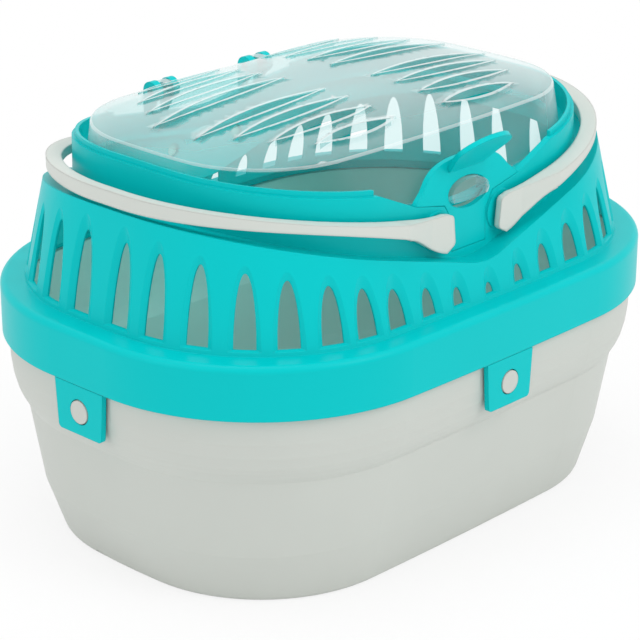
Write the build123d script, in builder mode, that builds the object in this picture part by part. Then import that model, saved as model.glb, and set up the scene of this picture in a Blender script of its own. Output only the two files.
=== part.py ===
"""Small plastic pet carrier: grey tub, turquoise upper shell, clear hinged lid, two handles.

Millimetres. Origin: middle of the tub's underside. +X along the length, +Y to the hinge
side, +Z up. The latch is on the -Y side.
"""
from build123d import *
import os
from math import atan2, cos, hypot, pi, radians, sin, sqrt

os.makedirs("parts", exist_ok=True)

# Overall plan size, over the skirt of the upper shell.
skirt_length = 300.0
skirt_width = 217.6
skirt_side_bow = 4.7
skirt_end_bow = 0.5
skirt_corner = 90.3

# Wall thicknesses and clearances.
tub_wall = 2.4
shell_wall = 2.4
lid_wall = 2.0
clip_wall = 2.4
fit_gap = 0.35
pin_gap = 0.06
flex_gap = 0.2

# Heights of the tub.
floor_thickness = 2.6
foot_round = 3.0
foot_top_z = 24.6
waist_z = 61.8
band_heights = [64.4, 67.2, 70.0, 75.5, 82.0]
band_insets = [5.4, 3.8, 2.6, 1.2, 0.4]
tub_rim_z = 108.0

# The tub's plan, as insets from the inside of the skirt, end and side.
waist_inset_end = 6.6
waist_inset_side = 7.6
foot_top_inset_end = 12.1
foot_top_inset_side = 14.3
base_inset_end = 20.6
base_inset_side = 20.8
base_end_bow = 9.5
base_corner = 67.3

# Heights of the upper shell.
skirt_bottom_z = 93.8
skirt_top_z = 117.6
skirt_edge_round = 3.0
wall_top_mid_z = 132.4
wall_top_rise = 26.5
collar_mid_z = 165.8
collar_rise = 13.2
saddle_span = 100.0

# Plan of the upper shell's sloping wall and of the collar round the lid.
wall_base_inset = 10.9
wall_base_side_inset = 10.4
wall_slope_end = 0.165
wall_slope_side = 0.27
wall_side_bow = 4.0
wall_end_bow = 7.0
wall_corner = 80.0
collar_length = 226.4
collar_width = 165.2
collar_side_bow = 0.6
collar_end_bow = 2.3
collar_corner = 64.0
collar_draft = 1.5
collar_wall = 3.0
lip_set_back = 1.4
lip_height = 2.4
lip_end_x = 57.0
lid_shelf_width = 5.0
lid_shelf_drop = 8.0
lid_shelf_thickness = 2.4

# Window slots in the sloping wall: places on a quarter of the plan, sizes of hole and recess.
window_places = [0.0, 20.0, 38.2, 57.2, 74.5, 91.4, 110.4, 129.0, 149.4, 170.2, 190.2]
window_width = 9.4
window_least_width = 2.6
window_width_per_height = 0.42
window_least_height = 4.4
window_sill = 2.7
window_top_margin = 9.4
window_rise = 23.6
bevel_side = 2.9
bevel_top = 7.2
bevel_sill = 1.0
bevel_depth = 1.7
bevel_over = 0.6

# Clear lid.
lid_gap = 0.6
lid_skirt_z = 155.0
lid_shoulder_length = 215.8
lid_shoulder_width = 137.0
lid_shoulder_bow = 5.0
lid_shoulder_end_bow = 5.0
lid_shoulder_corner = 48.6
lid_shoulder_z = 186.8
lid_crown = 9.0
crown_shares = [1.0, 0.93, 0.85, 0.75, 0.62, 0.47, 0.3, 0.1]
slot_rows = [12.5, 26.5, 40.5, 54.0]
slot_outer_ends = [90.0, 81.0, 73.5, 61.0]
slot_inner_end = 17.5
slot_width = 6.4
slot_rim_width = 1.6
slot_rim_height = 1.0

# Lid hinge at the back and latch at the front.
hinge_x = 30.0
hinge_lug_width = 3.8
hinge_knuckle_width = 5.6
hinge_side_gap = 0.4
hinge_lug_radius = 4.8
hinge_pin_radius = 2.0
hinge_inset = 6.4
hinge_z = 181.5
latch_root_z = 138.0
latch_root_width = 21.6
latch_neck_z = 152.0
latch_waist_width = 31.0
latch_waist_z = 159.5
latch_foot_width = 66.0
latch_foot_z = 163.0
latch_bend_z = 160.0
latch_lean = 4.0
latch_curve = [(28.5, 167.0), (24.0, 171.8), (18.0, 175.6), (10.0, 177.5)]
latch_top_z = 178.0
latch_thickness = 2.6
notch_end_x = 55.0
button_length = 24.6
button_height = 12.6
button_z = 162.2
button_proud = 0.8
button_gap = 0.5
leaf_root_width = 19.0
leaf_width = 31.4
leaf_widest = 18.0
leaf_length = 26.0
leaf_root_depth = 3.0
leaf_tilt = 45.0
leaf_root_z = 172.5
leaf_thickness = 2.2

# Handles.
handle_end_x = 131.2
handle_side_y = 93.8
handle_side_bow = 1.0
handle_end_bow = 2.0
handle_corner = 87.0
handle_thickness = 6.0
handle_inner_side_y = 85.8
handle_low_z = [147.0, 163.1, 168.7]
handle_top_z = [157.0, 167.3, 175.6]
handle_profile_x = [25.0, 80.0, 134.0]
paddle_top = [(48.0, 161.6), (38.0, 159.6), (29.0, 158.3), (21.0, 157.9)]
paddle_low = [(19.5, 140.4), (27.0, 143.4), (36.0, 149.0), (48.0, 154.6)]
paddle_end = [(15.6, 156.6), (14.2, 143.4)]
paddle_corner = 2.6
paddle_thickness = 2.8
paddle_blend_x = 50.0
pivot_x = 20.5
pivot_z = 149.5
pivot_radius = 3.2
pivot_boss_radius = 9.0

# Clip tabs at the middle of each side, and the studs that they hook over.
clip_drop = 22.5
clip_width = 30.0
clip_tip_width = 27.0
clip_corner = 2.0
clip_recess_gap = 1.0
stud_radius = 5.2
stud_gap = 0.45
stud_drop = 12.0
stud_proud = 0.3

# Construction values that only need to be large enough.
far = 400.0


def inset(plan, end, side=None):
    """A plan outline moved inwards; with one distance it is an exact parallel."""
    a, b, bow_side, bow_end, corner = plan
    side = end if side is None else side
    side_radius = (a * a + bow_side ** 2) / (2 * bow_side) - side
    end_radius = (b * b + bow_end ** 2) / (2 * bow_end) - end
    new_a, new_b = a - end, b - side
    return (
        new_a,
        new_b,
        side_radius - sqrt(side_radius ** 2 - new_a ** 2),
        end_radius - sqrt(end_radius ** 2 - new_b ** 2),
        corner - (end + side) / 2,
    )


def plan_arcs(plan):
    """Centre, radius and end angles of the three tangent arcs in the first quadrant."""
    a, b, bow_side, bow_end, corner = plan
    side_radius = (a * a + bow_side ** 2) / (2 * bow_side)
    end_radius = (b * b + bow_end ** 2) / (2 * bow_end)
    side_centre = (0.0, b - side_radius)
    end_centre = (a - end_radius, 0.0)
    dx, dy = end_centre[0] - side_centre[0], end_centre[1] - side_centre[1]
    span = hypot(dx, dy)
    reach_side, reach_end = side_radius - corner, end_radius - corner
    along = (reach_side ** 2 - reach_end ** 2 + span ** 2) / (2 * span)
    across = sqrt(reach_side ** 2 - along ** 2)
    foot = (side_centre[0] + dx * along / span, side_centre[1] + dy * along / span)
    options = [
        (foot[0] - dy / span * across * side, foot[1] + dx / span * across * side)
        for side in (-1, 1)
    ]
    centre = max(options, key=sum)
    side_turn = atan2(centre[1] - side_centre[1], centre[0] - side_centre[0])
    end_turn = atan2(centre[1] - end_centre[1], centre[0] - end_centre[0])
    return [
        (end_centre, end_radius, 0.0, end_turn),
        (centre, corner, end_turn, side_turn),
        (side_centre, side_radius, side_turn, pi / 2),
    ]


def arc_point(arc, turn):
    """Point of one plan arc at an angle."""
    (x, y), radius, _, _ = arc
    return (x + radius * cos(turn), y + radius * sin(turn))


def plan_sketch(height, plan):
    """Sketch of a plan outline at a height: eight tangent arcs and the face in them."""
    end_arc, corner_arc, side_arc = plan_arcs(plan)
    end_x, end_y = arc_point(end_arc, end_arc[3])
    mid_x, mid_y = arc_point(corner_arc, (corner_arc[2] + corner_arc[3]) / 2)
    side_x, side_y = arc_point(side_arc, side_arc[2])
    with BuildSketch(Plane.XY.offset(height)) as outline:
        with BuildLine():
            ThreePointArc((end_x, -end_y), (plan[0], 0), (end_x, end_y))
            ThreePointArc((end_x, end_y), (mid_x, mid_y), (side_x, side_y))
            ThreePointArc((side_x, side_y), (0, plan[1]), (-side_x, side_y))
            ThreePointArc((-side_x, side_y), (-mid_x, mid_y), (-end_x, end_y))
            ThreePointArc((-end_x, end_y), (-plan[0], 0), (-end_x, -end_y))
            ThreePointArc((-end_x, -end_y), (-mid_x, -mid_y), (-side_x, -side_y))
            ThreePointArc((-side_x, -side_y), (0, -plan[1]), (side_x, -side_y))
            ThreePointArc((side_x, -side_y), (mid_x, -mid_y), (end_x, -end_y))
        make_face()
    return outline.sketch


def plan_loft(stations, mode=Mode.ADD):
    """Straight-sided loft through plan outlines, given as (height, plan) pairs."""
    loft([plan_sketch(height, plan) for height, plan in stations], ruled=True, mode=mode)


def plan_prism(low, high, plan, mode=Mode.ADD):
    """Upright prism on a plan outline."""
    extrude(plan_sketch(low, plan), amount=high - low, mode=mode)


def saddle_z(x, mid, rise):
    """Height of a saddle edge: low at the middle of the sides, high at the ends."""
    return mid + rise * abs(x) / saddle_span


def sky_sketch(mid, rise):
    """Side-view face of everything above a saddle edge that is soft at the middle."""
    soft = saddle_span * 0.1
    soft_z, far_z = saddle_z(soft, mid, rise), saddle_z(far, mid, rise)
    with BuildSketch(Plane.XZ) as sky:
        with BuildLine():
            Polyline((soft, soft_z), (far, far_z), (far, 2 * far), (-far, 2 * far),
                     (-far, far_z), (-soft, soft_z))
            TangentArc((-soft, soft_z), (soft, soft_z), tangent=(saddle_span, -rise))
        make_face()
    return sky.sketch


def cut_above(mid, rise):
    """Removes what stands above a saddle edge."""
    extrude(sky_sketch(mid, rise), amount=far, both=True, mode=Mode.SUBTRACT)


# Plan outlines that several pieces share.
skirt_plan = (skirt_length / 2, skirt_width / 2, skirt_side_bow, skirt_end_bow, skirt_corner)
tub_top_plan = inset(skirt_plan, shell_wall + fit_gap)
waist_plan = inset(tub_top_plan, waist_inset_end, waist_inset_side)
foot_plan = inset(tub_top_plan, foot_top_inset_end, foot_top_inset_side)
base_plan = (
    tub_top_plan[0] - base_inset_end,
    tub_top_plan[1] - base_inset_side,
    2.6,
    base_end_bow,
    base_corner,
)
collar_plan = (
    collar_length / 2, collar_width / 2, collar_side_bow, collar_end_bow, collar_corner,
)


def wall_plan(height):
    """Outline of the sloping wall at a height above the tub."""
    rise = height - skirt_top_z
    return (
        skirt_plan[0] - wall_base_inset - wall_slope_end * rise,
        skirt_plan[1] - wall_base_side_inset - wall_slope_side * rise,
        wall_side_bow,
        wall_end_bow,
        wall_corner - (wall_slope_end + wall_slope_side) / 2 * rise,
    )


# Where the clips hang: the outward direction, distance of the skirt's face, and tab plane.
clip_sides = {
    "clip_front": (Vector(0, -1, 0), skirt_plan[1]),
    "clip_back": (Vector(0, 1, 0), skirt_plan[1]),
    "clip_left": (Vector(-1, 0, 0), skirt_plan[0]),
    "clip_right": (Vector(1, 0, 0), skirt_plan[0]),
}
stud_z = skirt_bottom_z - stud_drop


def side_plane(outward, distance, height=0.0):
    """Plane that faces outwards at one side of the carrier, with its X axis level."""
    level = Vector(0, 0, 1).cross(outward)
    return Plane(origin=outward * distance + Vector(0, 0, height), x_dir=level, z_dir=outward)


handle_plan = (
    handle_end_x, handle_side_y, handle_side_bow, handle_end_bow, handle_corner,
)
handle_inner_plan = inset(handle_plan, handle_thickness, handle_side_y - handle_inner_side_y)
collar_base_plan = inset(collar_plan, -collar_draft)
collar_top_z = saddle_z(skirt_plan[0], collar_mid_z, collar_rise)
lid_seat_z = collar_mid_z - lid_shelf_drop
lid_plan = inset(collar_plan, collar_wall + lid_gap)
hinge_y = collar_plan[1] - hinge_inset


def band_sketch(low_mid, high_mid, rise):
    """Side-view face between two parallel saddle edges."""
    band = sky_sketch(low_mid, rise) - sky_sketch(high_mid, rise)
    return band


# The tub that holds the animal: a closed foot, a waist and a wider band under the skirt.
with BuildPart() as tub:
    band = [
        (height, inset(tub_top_plan, step))
        for height, step in zip(band_heights, band_insets)
    ]
    outer = [(0, base_plan), (foot_top_z, foot_plan), (waist_z, waist_plan)]
    outer += band + [(tub_rim_z, tub_top_plan)]
    plan_loft(outer)
    fillet(tub.faces().sort_by(Axis.Z)[0].edges(), foot_round)
    inner = [(floor_thickness, inset(base_plan, tub_wall))]
    inner += [(height, inset(plan, tub_wall)) for height, plan in outer[1:-1]]
    inner += [(tub_rim_z, inset(tub_top_plan, tub_wall))]
    plan_loft(inner, mode=Mode.SUBTRACT)
    # A flat pocket behind each clip, with the stud that the clip hooks over.
    for outward, distance in clip_sides.values():
        pocket_floor = distance - clip_wall - clip_recess_gap
        with BuildSketch(side_plane(outward, pocket_floor, skirt_bottom_z - clip_drop)):
            with Locations((0, (tub_rim_z - skirt_bottom_z + clip_drop) / 2)):
                Rectangle(clip_width + 2, tub_rim_z - skirt_bottom_z + clip_drop)
        extrude(amount=far / 10, mode=Mode.SUBTRACT)
        with BuildSketch(side_plane(outward, pocket_floor - tub_wall, stud_z)):
            Circle(stud_radius)
        extrude(amount=clip_wall + clip_recess_gap + tub_wall + stud_proud)
tub.part.label = "base_tub"
export_step(tub.part, "parts/base_tub.step")


def wall_frame(place):
    """Plane on the sloping wall's base outline at a distance along it from x = 0, facing out."""
    plan = wall_plan(skirt_top_z)
    left = place
    for arc in reversed(plan_arcs(plan)):
        (centre_x, centre_y), radius, low, high = arc
        length = radius * (high - low)
        if left <= length:
            turn = high - left / radius
            break
        left -= length
    point = Vector(*arc_point(arc, turn), skirt_top_z)
    slope = wall_slope_side + (wall_slope_end - wall_slope_side) * abs(cos(turn))
    outward = Vector(cos(turn), sin(turn), slope)
    return Plane(origin=point, x_dir=(-sin(turn), cos(turn), 0), z_dir=outward)


def arch_sketch(plane, base, width, height):
    """Window outline: half an ellipse standing on a level sill."""
    half = width / 2
    with BuildSketch(plane) as window:
        with BuildLine():
            Line((-half, base), (half, base))
            EllipticalCenterArc((0, base), half, height, 0, arc_size=90)
            EllipticalCenterArc((0, base), half, height, 90, arc_size=90)
        make_face()
    return window.sketch


# Cutters for the windows: through holes that widen to a bevelled edge at the wall's face.
bevel_reach = (bevel_depth + bevel_over) / bevel_depth
with BuildPart() as window_cutter:
    for place in window_places:
        frame = wall_frame(place)
        top_z = saddle_z(frame.origin.X, wall_top_mid_z, window_rise) - window_top_margin
        height = max(window_least_height, top_z - skirt_top_z - window_sill)
        width = min(window_width, window_least_width + window_width_per_height * height)
        extrude(arch_sketch(frame, window_sill, width, height), amount=2 * shell_wall, both=True)
        low = arch_sketch(frame.offset(-bevel_depth), window_sill, width, height)
        high = arch_sketch(
            frame.offset(bevel_over),
            window_sill - bevel_sill * bevel_reach,
            width + 2 * bevel_side * bevel_reach,
            height + (bevel_sill + bevel_top) * bevel_reach,
        )
        loft([low, high], ruled=True)
    mirror(about=Plane.YZ)
    mirror(about=Plane.XZ)

# The shell's sloping wall with its saddle-shaped top, and the space under it.
with BuildPart() as wall_block:
    plan_loft([(skirt_bottom_z, wall_plan(skirt_bottom_z)), (collar_top_z, wall_plan(collar_top_z))])
    cut_above(wall_top_mid_z, wall_top_rise)

with BuildPart() as wall_space:
    plan_loft([
        (skirt_bottom_z, inset(wall_plan(skirt_bottom_z), shell_wall)),
        (collar_top_z, inset(wall_plan(collar_top_z), shell_wall)),
    ])
    cut_above(wall_top_mid_z - shell_wall, wall_top_rise)

def collar_surface(grow):
    """Block under the collar's outer surface, shrunk on plan by a distance."""
    plan_loft([
        (skirt_top_z, inset(collar_base_plan, grow)),
        (collar_top_z, inset(collar_plan, grow)),
    ])


# The collar that stands up from the wall's ledge round the lid, and the thin lip on top of it.
with BuildPart() as collar_block:
    collar_surface(0)
    extrude(
        sky_sketch(wall_top_mid_z - shell_wall, wall_top_rise),
        amount=far,
        both=True,
        mode=Mode.INTERSECT,
    )
    cut_above(collar_mid_z, collar_rise)

with BuildPart() as collar_lip:
    extrude(
        band_sketch(collar_mid_z - lip_height, collar_mid_z + lip_height, collar_rise),
        amount=far,
        both=True,
    )
    plan_prism(0, far, inset(collar_plan, lip_set_back), Mode.INTERSECT)
    with Locations((0, 0, collar_mid_z)):
        Box(2 * lip_end_x, far, far, mode=Mode.SUBTRACT)

# The shelf inside the collar that the lid sits on.
with BuildPart() as shelf:
    extrude(
        band_sketch(lid_seat_z - lid_shelf_thickness, lid_seat_z, collar_rise),
        amount=far,
        both=True,
    )
    plan_prism(0, far, inset(collar_plan, lip_set_back), Mode.INTERSECT)
    plan_prism(0, far, inset(collar_plan, collar_wall + lid_shelf_width), Mode.SUBTRACT)


def latch_sketch(plane, grow):
    """Front view of the latch tongue, right half and its mirror, grown by a clearance."""
    foot = (latch_foot_width / 2 + grow, latch_foot_z)
    with BuildSketch(plane) as tongue:
        with BuildLine():
            Spline(foot, *latch_curve, (0, latch_top_z), tangents=((-0.6, 1), (-1, 0)))
            Polyline(
                (0, latch_top_z),
                (0, latch_root_z - grow),
                (latch_root_width / 2 + grow, latch_root_z - grow),
                (latch_root_width / 2 + grow, latch_neck_z),
                (latch_waist_width / 2 + grow, latch_waist_z - grow),
                foot,
            )
        make_face()
        mirror(about=Plane.YZ)
    return tongue.sketch


def notch_sketch(plane):
    """Front view of the low stretch of collar on each side of the latch."""
    with BuildSketch(plane) as notch:
        with BuildLine():
            Polyline(
                (0, latch_foot_z),
                (latch_foot_width / 2, latch_foot_z),
                (notch_end_x, saddle_z(notch_end_x, collar_mid_z, collar_rise)),
                (notch_end_x, latch_top_z),
                (0, latch_top_z),
                (0, latch_foot_z),
            )
        make_face()
        mirror(about=Plane.YZ)
    return notch.sketch


lug_neck_z = saddle_z(hinge_x, collar_mid_z, collar_rise)
paddle_face_y = handle_inner_side_y + paddle_thickness
boss_face_y = handle_inner_side_y - 1.6
pivot_end_y = collar_base_plan[1] - collar_wall


def oval_sketch(plane, grow):
    """Front view of the lid's oval button, grown by a clearance."""
    with BuildSketch(plane) as oval:
        with Locations((0, button_z)):
            Ellipse(button_length / 2 + grow, button_height / 2 + grow)
    return oval.sketch


with BuildPart() as shell:
    plan_prism(skirt_bottom_z, skirt_top_z, skirt_plan)
    fillet(shell.faces().sort_by(Axis.Z)[-1].edges(), skirt_edge_round)
    add(wall_block.part)
    add(collar_block.part)
    add(collar_lip.part)
    # Round bosses that carry the handles' pins.
    for side in (-1, 1):
        with BuildSketch(Plane.XZ.offset(side * boss_face_y)):
            with Locations((-pivot_x, pivot_z), (pivot_x, pivot_z)):
                Circle(pivot_boss_radius)
        extrude(amount=-side * 2 * collar_wall)
    # Hollow: under the skirt's ledge, under the wall's ledge and up through the collar.
    plan_prism(skirt_bottom_z, skirt_top_z - shell_wall, inset(skirt_plan, shell_wall), Mode.SUBTRACT)
    add(wall_space.part, mode=Mode.SUBTRACT)
    plan_prism(skirt_bottom_z, far, inset(collar_plan, collar_wall), Mode.SUBTRACT)
    add(shelf.part)
    add(window_cutter.part, mode=Mode.SUBTRACT)
    # Pivot holes, and the opening for the sprung latch.
    with BuildSketch(Plane.XZ):
        with Locations((-pivot_x, pivot_z), (pivot_x, pivot_z)):
            Circle(pivot_radius + pin_gap)
    extrude(amount=far, both=True, mode=Mode.SUBTRACT)
    latch_plane = Plane.XZ.offset(collar_plan[1] - collar_wall - 2 * flex_gap)
    extrude(latch_sketch(latch_plane, flex_gap), amount=far, mode=Mode.SUBTRACT)
    extrude(notch_sketch(latch_plane), amount=far, mode=Mode.SUBTRACT)
    # Hinge lugs on the back of the collar, drilled for the lid's pins.
    for centre in (-hinge_x, hinge_x):
        for side in (-1, 1):
            near = centre + side * (hinge_knuckle_width / 2 + hinge_side_gap)
            with BuildSketch(Plane.YZ.offset(near)):
                with Locations((hinge_y, hinge_z)):
                    Circle(hinge_lug_radius)
                with BuildLine():
                    Polyline(
                        (hinge_y, hinge_z),
                        (hinge_y + hinge_lug_radius, hinge_z),
                        (hinge_y + hinge_lug_radius, lid_seat_z),
                        (collar_plan[1] - collar_wall, lid_seat_z),
                        (collar_plan[1] - collar_wall, lug_neck_z),
                        (hinge_y - hinge_lug_radius / 2, hinge_z - hinge_lug_radius / 2),
                        (hinge_y, hinge_z),
                    )
                make_face()
                with Locations((hinge_y, hinge_z)):
                    Circle(hinge_pin_radius + pin_gap, mode=Mode.SUBTRACT)
            extrude(amount=side * hinge_lug_width)
shell.part.label = "upper_shell"
export_step(shell.part, "parts/upper_shell.step")

def latch_surface(grow, mode=Mode.ADD):
    """Block under the latch's face: the collar's surface below the bend, leaning in above it."""
    share = (latch_bend_z - skirt_top_z) / (collar_top_z - skirt_top_z)
    plan_loft(
        [
            (skirt_top_z, inset(collar_base_plan, grow)),
            (latch_bend_z, inset(collar_base_plan, grow + collar_draft * share)),
            (collar_top_z, inset(collar_plan, grow + latch_lean)),
        ],
        mode,
    )


# Latch: a sprung shield on the collar with a thumb leaf, holding the lid's button.
with BuildPart() as latch:
    latch_surface(0)
    latch_surface(latch_thickness, Mode.SUBTRACT)
    extrude(latch_sketch(Plane.XZ, 0), amount=far, mode=Mode.INTERSECT)
    leaf_plane = Plane(
        origin=(0, latch_thickness + latch_lean / 2 - collar_plan[1], leaf_root_z),
        x_dir=(1, 0, 0),
        z_dir=(0, -cos(radians(leaf_tilt)), -sin(radians(leaf_tilt))),
    )
    with BuildSketch(leaf_plane):
        with BuildLine():
            Spline(
                (leaf_root_width / 2, -leaf_root_depth),
                (leaf_width / 2, leaf_widest),
                (0, leaf_length),
                tangents=((0.2, 1), (-1, 0)),
            )
            Polyline(
                (0, leaf_length), (0, -leaf_root_depth), (leaf_root_width / 2, -leaf_root_depth),
            )
        make_face()
        mirror(about=Plane.YZ)
    extrude(amount=leaf_thickness)
    latch_surface(latch_thickness, Mode.SUBTRACT)
    extrude(oval_sketch(Plane.XZ, button_gap), amount=far, mode=Mode.SUBTRACT)
latch.part.label = "lid_latch"
export_step(latch.part, "parts/lid_latch.step")

# The lid's shoulder, where its sloping side turns into a low crown.
lid_shoulder_plan = (
    lid_shoulder_length / 2,
    lid_shoulder_width / 2,
    lid_shoulder_bow,
    lid_shoulder_end_bow,
    lid_shoulder_corner,
)


def crown_loft(lift, plan, mode=Mode.ADD):
    """Low dome over an outline, raised by a lift: a smooth loft of shrinking outlines."""
    sections = [
        plan_sketch(
            lid_shoulder_z + lift + lid_crown * (1 - share ** 3),
            [value * share for value in plan],
        )
        for share in crown_shares
    ]
    loft(sections, mode=mode)


def slots_sketch(grow):
    """Plan of the lid's pointed slots, in four groups, grown on all sides."""
    with BuildSketch(Plane.XY.offset(lid_shoulder_z)) as slots:
        for row, outer_end in zip(slot_rows, slot_outer_ends):
            low, high = slot_inner_end - 2 * grow, outer_end + 2 * grow
            with BuildLine():
                ThreePointArc(
                    (low, row), ((low + high) / 2, row + slot_width / 2 + grow), (high, row)
                )
                ThreePointArc(
                    (high, row), ((low + high) / 2, row - slot_width / 2 - grow), (low, row)
                )
            make_face()
        mirror(about=Plane.XZ)
        mirror(about=Plane.YZ)
    return slots.sketch


# Raised rims round the slots, as high as a dome lifted by the rim's height.
with BuildPart() as slot_rims:
    extrude(slots_sketch(slot_rim_width), amount=2 * lid_crown)
    crown_loft(slot_rim_height, lid_shoulder_plan, Mode.INTERSECT)

# Lid: a clear shell that slopes in from the collar to its shoulder, with a low crown.
with BuildPart() as lid:
    plan_loft([(lid_skirt_z, lid_plan), (lid_shoulder_z, lid_shoulder_plan)])
    crown_loft(0, lid_shoulder_plan)
    add(slot_rims.part)
    button_reach = collar_plan[1] + collar_draft / 2 + button_proud - lid_shoulder_plan[1]
    extrude(oval_sketch(Plane.XZ.offset(lid_shoulder_plan[1]), 0), amount=button_reach)
    # Hinge knuckles with their pins, joined to the sloping side.
    knuckle_radius = hinge_lug_radius - hinge_side_gap
    for centre in (-hinge_x, hinge_x):
        with BuildSketch(Plane.YZ.offset(centre)):
            with Locations((hinge_y, hinge_z)):
                Circle(knuckle_radius)
            with Locations(((hinge_y + lid_shoulder_plan[1]) / 2, hinge_z)):
                Rectangle(hinge_y - lid_shoulder_plan[1], 2 * knuckle_radius)
        extrude(amount=hinge_knuckle_width / 2, both=True)
        with BuildSketch(Plane.YZ.offset(centre)):
            with Locations((hinge_y, hinge_z)):
                Circle(hinge_pin_radius)
        extrude(amount=hinge_knuckle_width / 2 + hinge_side_gap + hinge_lug_width, both=True)
    plan_loft(
        [
            (lid_skirt_z, inset(lid_plan, lid_wall)),
            (lid_shoulder_z - lid_wall, inset(lid_shoulder_plan, lid_wall)),
        ],
        Mode.SUBTRACT,
    )
    crown_loft(-lid_wall, inset(lid_shoulder_plan, lid_wall), Mode.SUBTRACT)
    extrude(slots_sketch(0), amount=far, both=True, mode=Mode.SUBTRACT)
    extrude(sky_sketch(lid_seat_z + fit_gap, collar_rise), amount=far, both=True,
            mode=Mode.INTERSECT)
lid.part.label = "lid"
export_step(lid.part, "parts/lid.step")


def handle_profile():
    """Side view of the +X handle: a rising band with a paddle at the pivot."""
    low = list(zip(handle_profile_x, handle_low_z))
    top = list(zip(handle_profile_x, handle_top_z))
    with BuildSketch(Plane.XZ) as profile:
        with BuildLine():
            ThreePointArc(*low)
            Line(low[2], top[2])
            ThreePointArc(*reversed(top))
            Line(top[0], low[0])
        make_face()
    # The band flares out to the paddle at its end.
    with BuildSketch(Plane.XZ) as paddle:
        with BuildLine():
            Spline(*paddle_top)
            Polyline(paddle_top[-1], *paddle_end, paddle_low[0])
            Spline(*paddle_low)
            Line(paddle_low[-1], paddle_top[0])
        make_face()
        ends = [v for v in paddle.vertices() if (round(v.X, 3), round(v.Y, 3)) in paddle_end]
        fillet(ends, paddle_corner)
    return profile.sketch + paddle.sketch


# Handle: a bowed band round one end, with pins that turn in the shell's bosses.
with BuildPart() as handle_right:
    plan_prism(0, far, handle_plan)
    plan_prism(0, far, handle_inner_plan, Mode.SUBTRACT)
    extrude(handle_profile(), amount=far, both=True, mode=Mode.INTERSECT)
    for side in (-1, 1):
        # The arm thins down to the paddle, which carries the pin on its inner face.
        with BuildSketch(Plane.XY):
            with BuildLine():
                Polyline(
                    (0, side * paddle_face_y),
                    (pivot_x + pivot_boss_radius, side * paddle_face_y),
                    (paddle_blend_x, side * handle_side_y),
                    (0, side * handle_side_y),
                    (0, side * paddle_face_y),
                )
            make_face()
        extrude(amount=far, mode=Mode.SUBTRACT)
        with BuildSketch(Plane.XZ.offset(side * pivot_end_y)):
            with Locations((pivot_x, pivot_z)):
                Circle(pivot_radius)
        extrude(amount=side * (paddle_face_y - pivot_end_y - paddle_thickness / 2))
handle_right.part.label = "handle_right"
export_step(handle_right.part, "parts/handle_right.step")

with BuildPart() as handle_left:
    mirror(handle_right.part, about=Plane.YZ)
handle_left.part.label = "handle_left"
export_step(handle_left.part, "parts/handle_left.step")

# Clips: sprung tabs below the skirt, each with a hole for the tub's stud.
for name, (outward, distance) in clip_sides.items():
    with BuildPart() as clip:
        tab_plane = side_plane(outward, 0, skirt_bottom_z)
        plan_prism(skirt_bottom_z - clip_drop, skirt_bottom_z, skirt_plan)
        plan_prism(
            skirt_bottom_z - clip_drop, skirt_bottom_z, inset(skirt_plan, clip_wall), Mode.SUBTRACT
        )
        with BuildSketch(tab_plane) as tab:
            with BuildLine():
                Polyline(
                    (-clip_width / 2, -flex_gap),
                    (clip_width / 2, -flex_gap),
                    (clip_tip_width / 2, -clip_drop),
                    (-clip_tip_width / 2, -clip_drop),
                    (-clip_width / 2, -flex_gap),
                )
            make_face()
            fillet(tab.vertices().group_by(Axis.Y)[0], clip_corner)
            with Locations((0, stud_z - skirt_bottom_z)):
                Circle(stud_radius + stud_gap, mode=Mode.SUBTRACT)
        extrude(amount=far, mode=Mode.INTERSECT)
    clip.part.label = name
    export_step(clip.part, "parts/" + name + ".step")
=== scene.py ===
"""Small plastic pet carrier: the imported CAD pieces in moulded-plastic finishes, in a white studio."""
import math

import bmesh
import bpy
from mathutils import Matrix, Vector


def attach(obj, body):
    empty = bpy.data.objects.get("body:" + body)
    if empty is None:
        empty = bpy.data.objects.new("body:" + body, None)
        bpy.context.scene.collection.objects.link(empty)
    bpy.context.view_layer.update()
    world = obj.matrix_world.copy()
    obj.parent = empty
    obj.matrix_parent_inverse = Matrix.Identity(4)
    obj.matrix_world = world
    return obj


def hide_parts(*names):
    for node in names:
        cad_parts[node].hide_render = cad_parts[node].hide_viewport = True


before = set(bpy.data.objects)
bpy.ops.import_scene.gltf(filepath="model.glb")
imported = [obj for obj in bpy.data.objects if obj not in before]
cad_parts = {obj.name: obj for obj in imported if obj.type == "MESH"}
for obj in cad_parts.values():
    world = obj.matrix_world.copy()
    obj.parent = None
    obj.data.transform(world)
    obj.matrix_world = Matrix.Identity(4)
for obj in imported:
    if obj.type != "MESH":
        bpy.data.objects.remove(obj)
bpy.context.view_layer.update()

# Colours of the mouldings and of the studio, as sRGB.
TURQUOISE = "00C6C8"
TUB_GREY = "CACEC8"
HANDLE_GREY = "D3D7D1"
CLEAR_GLOSS = "F2F8F8"
CLEAR_TINT = "EAF8F8"
SOAKED_LIGHT = "00F0EC"
PAPER = "F6F6F6"
WHITE = "FFFFFF"

# The lid's slots, in metres: rows on each side of the middle, ends and half width, as in the CAD.
SLOT_ROWS = (0.0125, 0.0265, 0.0405, 0.054)
SLOT_OUTER_ENDS = (0.090, 0.081, 0.0735, 0.061)
SLOT_INNER_END = 0.0175
SLOT_HALF_WIDTH = 0.0032
SLOT_RIM_WIDTH = 0.0016

# The lid's outer shoulder: its height and how wide its rounded line is, in metres.
SHOULDER_HEIGHT = 0.1868
SHOULDER_ROUND = 0.0011
SAME_HEIGHT = 0.00005

# The lid's material slots, in order: its plain faces, its slot rims and shoulder line with a painted
# highlight, and its inside faces with less of the white gloss, a painted weaker reflection.
FACE_SLOT, RIM_HIGHLIGHT_SLOT, INSIDE_DIM_GLOSS_SLOT = 0, 1, 2

# The floor: half its width, how far from the middle its shadow starts and ends to fade, in
# metres, and how white it already is to the camera at the middle.
FLOOR_REACH = 3.0
SHADOW_FADE = (0.10, 0.28)
LEAST_WHITE = 0.78

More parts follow.
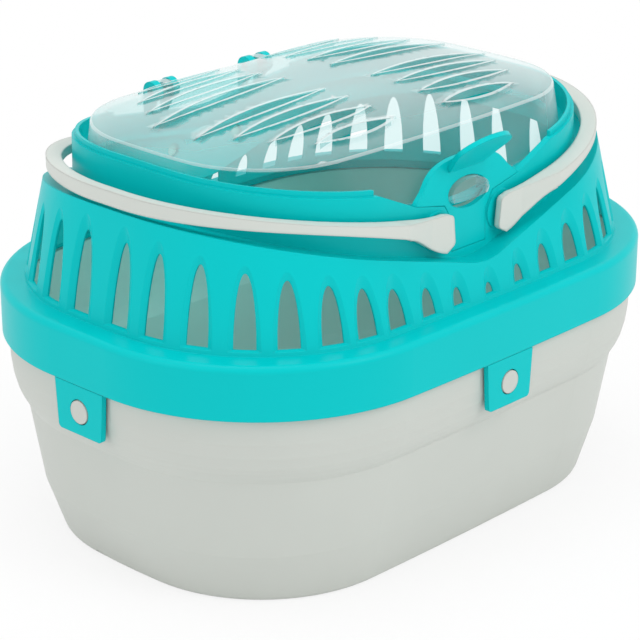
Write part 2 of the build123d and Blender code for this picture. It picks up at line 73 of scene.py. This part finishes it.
# Light that the white world gives the object; to the camera it is plain white.
WORLD_LIGHT = 0.72

# Square lamps: place and side in metres, and power in watts.
LAMPS = {
    "key_lamp": ((0.3, -1.4, 1.3), 0.9, 9.0),
    "top_lamp": ((-0.2, 0.1, 1.7), 1.0, 6.0),
    "side_lamp": ((-1.5, 0.2, 0.8), 0.8, 3.0),
}
CARRIER_MIDDLE = (0, 0, 0.1)

# The light inside: place, side and power, and the point on the back wall that it faces.
GLOW_LAMP = ((-0.02, -0.04, 0.15), 0.05, 0.07)
GLOW_TARGET = (0.03, 0.1, 0.12)

# The studio camera, in metres and with its lens in millimetres, fitted to the object's outline.
CAMERA_PLACE = Vector((-0.73996, -0.70782, 0.48696))
CAMERA_AIM = Vector((0.6695, 0.64469, -0.36899))
CAMERA_LENS = 134.675
CAMERA_SENSOR = 36.0


def linear(hex_colour):
    """An sRGB hex colour as linear RGBA."""
    values = [int(hex_colour[i:i + 2], 16) / 255 for i in (0, 2, 4)]
    curved = [v / 12.92 if v <= 0.04045 else ((v + 0.055) / 1.055) ** 2.4 for v in values]
    return (*curved, 1.0)


def add_node(tree, kind, inputs=None, **settings):
    """Adds a node, with its settings, and its inputs as values or as other nodes' outputs."""
    node = tree.nodes.new(kind)
    for name, value in settings.items():
        setattr(node, name, value)
    for name, value in (inputs or {}).items():
        if isinstance(value, bpy.types.NodeSocket):
            tree.links.new(value, node.inputs[name])
        else:
            node.inputs[name].default_value = value
    return node


def new_material(name):
    """An empty node material with its output node."""
    material = bpy.data.materials.new(name)
    material.use_nodes = True
    material.node_tree.nodes.clear()
    output = add_node(material.node_tree, "ShaderNodeOutputMaterial")
    return material, material.node_tree, output


def moulded_polypropylene(name, colour, roughness, gloss, grain, grain_height, edge_round):
    """Injection-moulded polypropylene: even colour, a soft sheen and a fine spark-eroded grain."""
    material, tree, output = new_material(name)
    place = add_node(tree, "ShaderNodeTexCoord").outputs["Object"]
    # The colour drifts by a percent or two over a few centimetres, as pigment does in a mould.
    cloud = add_node(
        tree, "ShaderNodeTexNoise", {"Vector": place, "Scale": 22.0, "Detail": 2.0}
    )
    tint = add_node(
        tree, "ShaderNodeMapRange",
        {"Value": cloud.outputs["Fac"], "To Min": 0.975, "To Max": 1.02},
    )
    shade = add_node(
        tree, "ShaderNodeHueSaturation",
        {"Color": linear(colour), "Value": tint.outputs["Result"]},
    )
    # Real grain is about 0.1 mm across, so it is drawn several times coarser, to show at all.
    speckle = add_node(
        tree, "ShaderNodeTexNoise", {"Vector": place, "Scale": 1 / grain, "Detail": 3.0}
    )
    rough = add_node(
        tree, "ShaderNodeMapRange",
        {"Value": speckle.outputs["Fac"], "To Min": roughness - 0.05,
         "To Max": roughness + 0.05},
    )
    # Moulded edges are never sharp, so the light rolls round each one.
    edges = add_node(tree, "ShaderNodeBevel", {"Radius": edge_round}, samples=6)
    bump = add_node(
        tree, "ShaderNodeBump",
        {"Height": speckle.outputs["Fac"], "Strength": 0.5, "Distance": grain_height,
         "Normal": edges.outputs["Normal"]},
    )
    shader = add_node(
        tree, "ShaderNodeBsdfPrincipled",
        {"Base Color": shade.outputs["Color"], "Roughness": rough.outputs["Result"],
         "IOR": 1.49, "Specular IOR Level": gloss, "Normal": bump.outputs["Normal"]},
    )
    tree.links.new(shader.outputs["BSDF"], output.inputs["Surface"])
    return material


def clear_polystyrene(name, least, most, falloff, roughness):
    """Clear moulded polystyrene: see-through square on, with a white gloss at a slant."""
    material, tree, output = new_material(name)
    facing = add_node(tree, "ShaderNodeLayerWeight", {"Blend": 0.5})
    slant = add_node(
        tree, "ShaderNodeMath", {0: facing.outputs["Facing"], 1: falloff}, operation="POWER"
    )
    share = add_node(
        tree, "ShaderNodeMapRange",
        {"Value": slant.outputs["Value"], "To Min": least, "To Max": most},
    )
    through = add_node(tree, "ShaderNodeBsdfTransparent", {"Color": linear(CLEAR_TINT)})
    gloss = add_node(
        tree, "ShaderNodeBsdfPrincipled",
        {"Base Color": linear(CLEAR_GLOSS), "Roughness": roughness, "IOR": 1.59},
    )
    skin = add_node(
        tree, "ShaderNodeMixShader",
        {0: share.outputs["Result"], 1: through.outputs["BSDF"], 2: gloss.outputs["BSDF"]},
    )
    tree.links.new(skin.outputs["Shader"], output.inputs["Surface"])
    return material


def seen_directly(tree):
    """One for what the camera sees, also in gloss and through clear plastic, and else nought."""
    rays = add_node(tree, "ShaderNodeLightPath")
    seen = add_node(
        tree, "ShaderNodeMath",
        {0: rays.outputs["Is Camera Ray"], 1: rays.outputs["Is Glossy Ray"]},
        operation="MAXIMUM",
    )
    seen = add_node(
        tree, "ShaderNodeMath",
        {0: seen.outputs["Value"], 1: rays.outputs["Is Transmission Ray"]},
        operation="MAXIMUM",
    )
    return seen.outputs["Value"]


def studio_paper():
    """Matt paper that fades to plain white before the camera and keeps the carrier's shadow."""
    material, tree, output = new_material("studio_floor_paper")
    paper = add_node(
        tree, "ShaderNodeBsdfPrincipled",
        {"Base Color": linear(PAPER), "Roughness": 0.9, "Specular IOR Level": 0.1},
    )
    place = add_node(tree, "ShaderNodeTexCoord").outputs["Object"]
    reach = add_node(tree, "ShaderNodeVectorMath", {0: place}, operation="LENGTH")
    fade = add_node(
        tree, "ShaderNodeMapRange",
        {"Value": reach.outputs["Value"], "From Min": SHADOW_FADE[0],
         "From Max": SHADOW_FADE[1], "To Min": LEAST_WHITE, "To Max": 1.0},
        interpolation_type="SMOOTHSTEP",
    )
    share = add_node(
        tree, "ShaderNodeMath",
        {0: seen_directly(tree), 1: fade.outputs["Result"]}, operation="MULTIPLY",
    )
    glow = add_node(tree, "ShaderNodeEmission", {"Color": linear(WHITE), "Strength": 1.0})
    mix = add_node(
        tree, "ShaderNodeMixShader",
        {0: share.outputs["Value"], 1: paper.outputs["BSDF"], 2: glow.outputs["Emission"]},
    )
    tree.links.new(mix.outputs["Shader"], output.inputs["Surface"])
    return material


def on_slot_rim(point):
    """Whether a point of the lid lies over one of its slots or their raised rims."""
    x, y = abs(point.x), abs(point.y)
    for row, outer in zip(SLOT_ROWS, SLOT_OUTER_ENDS):
        middle = (SLOT_INNER_END + outer) / 2
        along = (x - middle) / (outer - middle + 2 * SLOT_RIM_WIDTH)
        half_width = (SLOT_HALF_WIDTH + SLOT_RIM_WIDTH) * (1 - along * along)
        if abs(along) < 1 and abs(y - row) < half_width:
            return True
    return False


def welded_lid(crease_angle):
    """The CAD lid as one welded skin with smooth faces, which stands for its node."""
    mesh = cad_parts["lid"].data.copy()
    skin = bmesh.new()
    skin.from_mesh(mesh)
    bmesh.ops.remove_doubles(skin, verts=skin.verts, dist=0.00001)
    skin.to_mesh(mesh)
    skin.free()
    mesh.shade_smooth()
    mesh.set_sharp_from_angle(angle=math.radians(crease_angle))
    piece = bpy.data.objects.new("lid_moulding", mesh)
    bpy.context.collection.objects.link(piece)
    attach(piece, "lid")
    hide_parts("lid")
    return piece


def round_shoulder(mesh):
    """Rounds the lid's outer shoulder to a narrow line and gives it the whiter rim copy of the plastic,
    a painted highlight.
    """
    skin = bmesh.new()
    skin.from_mesh(mesh)
    line = [
        edge for edge in skin.edges
        if all(abs(vert.co.z - SHOULDER_HEIGHT) < SAME_HEIGHT for vert in edge.verts)
        and len(edge.link_faces) == 2
        and edge.calc_face_angle() > math.radians(10)
        and not on_slot_rim((edge.verts[0].co + edge.verts[1].co) / 2)
    ]
    rounded = bmesh.ops.bevel(
        skin, geom=line, offset=SHOULDER_ROUND, segments=3, profile=0.5, affect="EDGES",
        material=-1, clamp_overlap=True,
    )
    for face in rounded["faces"]:
        face.material_index = RIM_HIGHLIGHT_SLOT
    skin.to_mesh(mesh)
    skin.free()


def add_lamp(name, place, side, watts, target=CARRIER_MIDDLE, colour=WHITE):
    """A square lamp that faces a target."""
    lamp = bpy.data.lights.new(name, "AREA")
    lamp.shape = "SQUARE"
    lamp.size = side
    lamp.energy = watts
    lamp.color = linear(colour)[:3]
    holder = bpy.data.objects.new(name, lamp)
    bpy.context.collection.objects.link(holder)
    holder.location = place
    aim = Vector(target) - Vector(place)
    holder.rotation_euler = aim.to_track_quat("-Z", "Y").to_euler()
    return holder


shell_plastic = moulded_polypropylene(
    "turquoise_polypropylene", TURQUOISE,
    roughness=0.34, gloss=0.1, grain=0.0008, grain_height=0.00004, edge_round=0.0006,
)
tub_plastic = moulded_polypropylene(
    "grey_polypropylene_tub", TUB_GREY,
    roughness=0.46, gloss=0.3, grain=0.0007, grain_height=0.00004, edge_round=0.0009,
)
handle_plastic = moulded_polypropylene(
    "grey_polypropylene_handle", HANDLE_GREY,
    roughness=0.42, gloss=0.3, grain=0.0006, grain_height=0.00003, edge_round=0.0014,
)
clear_plastic = clear_polystyrene(
    "clear_polystyrene", least=0.01, most=0.9, falloff=2.05, roughness=0.06
)
# A whiter copy of the same clear plastic: a painted highlight for the slot rims and the shoulder line.
rim_highlight_plastic = clear_polystyrene(
    "clear_polystyrene_rim_painted_highlight", least=0.25, most=0.9, falloff=1.3, roughness=0.1
)
# A copy of the same clear plastic with less white gloss: a painted weaker reflection on the lid's
# inside faces.
inside_dim_gloss_plastic = clear_polystyrene(
    "clear_polystyrene_inside_painted_dim_gloss", least=0.0, most=0.3, falloff=2.3, roughness=0.06
)

finishes = {
    "base_tub": tub_plastic,
    "upper_shell": shell_plastic,
    "lid": clear_plastic,
    "lid_latch": shell_plastic,
    "handle_left": handle_plastic,
    "handle_right": handle_plastic,
    "clip_front": shell_plastic,
    "clip_back": shell_plastic,
    "clip_left": shell_plastic,
    "clip_right": shell_plastic,
}
for node, finish in finishes.items():
    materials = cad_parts[node].data.materials
    materials.clear()
    materials.append(finish)

# The clear lid: its slot rims and shoulder line get a whiter copy of the plastic, a painted highlight,
# and its inside faces a copy with less white gloss, a painted weaker reflection.
lid = welded_lid(crease_angle=20)
lid.data.materials.clear()
for plastic in (clear_plastic, rim_highlight_plastic, inside_dim_gloss_plastic):
    lid.data.materials.append(plastic)
round_shoulder(lid.data)
for face in lid.data.polygons:
    if face.center.z > SHOULDER_HEIGHT and face.normal.z > 0.2 and on_slot_rim(face.center):
        face.material_index = RIM_HIGHLIGHT_SLOT
    elif face.normal.z < -0.1:
        face.material_index = INSIDE_DIM_GLOSS_SLOT

# The studio: a pale floor, a white world and soft lamps.
floor_skin = bmesh.new()
bmesh.ops.create_grid(floor_skin, x_segments=1, y_segments=1, size=FLOOR_REACH)
floor_mesh = bpy.data.meshes.new("studio_floor")
floor_skin.to_mesh(floor_mesh)
floor_skin.free()
floor_mesh.materials.append(studio_paper())
floor = bpy.data.objects.new("studio_floor", floor_mesh)
bpy.context.collection.objects.link(floor)

world = bpy.data.worlds.new("studio_world")
bpy.context.scene.world = world
world.use_nodes = True
world.node_tree.nodes.clear()
strength = add_node(
    world.node_tree, "ShaderNodeMapRange",
    {"Value": seen_directly(world.node_tree), "To Min": WORLD_LIGHT, "To Max": 1.0},
)
sky = add_node(
    world.node_tree, "ShaderNodeBackground",
    {"Color": linear(WHITE), "Strength": strength.outputs["Result"]},
)
add_node(world.node_tree, "ShaderNodeOutputWorld", {"Surface": sky.outputs["Background"]})

for name, (place, side, watts) in LAMPS.items():
    add_lamp(name, place, side, watts)

# Studio light that soaks through the turquoise walls and tints the inside under the lid.
cabin_glow = add_lamp("cabin_glow", *GLOW_LAMP, target=GLOW_TARGET, colour=SOAKED_LIGHT)
cabin_glow.visible_camera = False
cabin_glow.visible_glossy = False
cabin_glow.visible_transmission = False

camera = bpy.data.cameras.new("studio_camera")
camera.lens = CAMERA_LENS
camera.sensor_width = CAMERA_SENSOR
camera.clip_start = 0.01
camera_holder = bpy.data.objects.new("studio_camera", camera)
bpy.context.collection.objects.link(camera_holder)
camera_holder.location = CAMERA_PLACE
camera_holder.rotation_euler = CAMERA_AIM.to_track_quat("-Z", "Y").to_euler()
bpy.context.scene.camera = camera_holder
bpy.context.scene.view_settings.view_transform = "Standard"
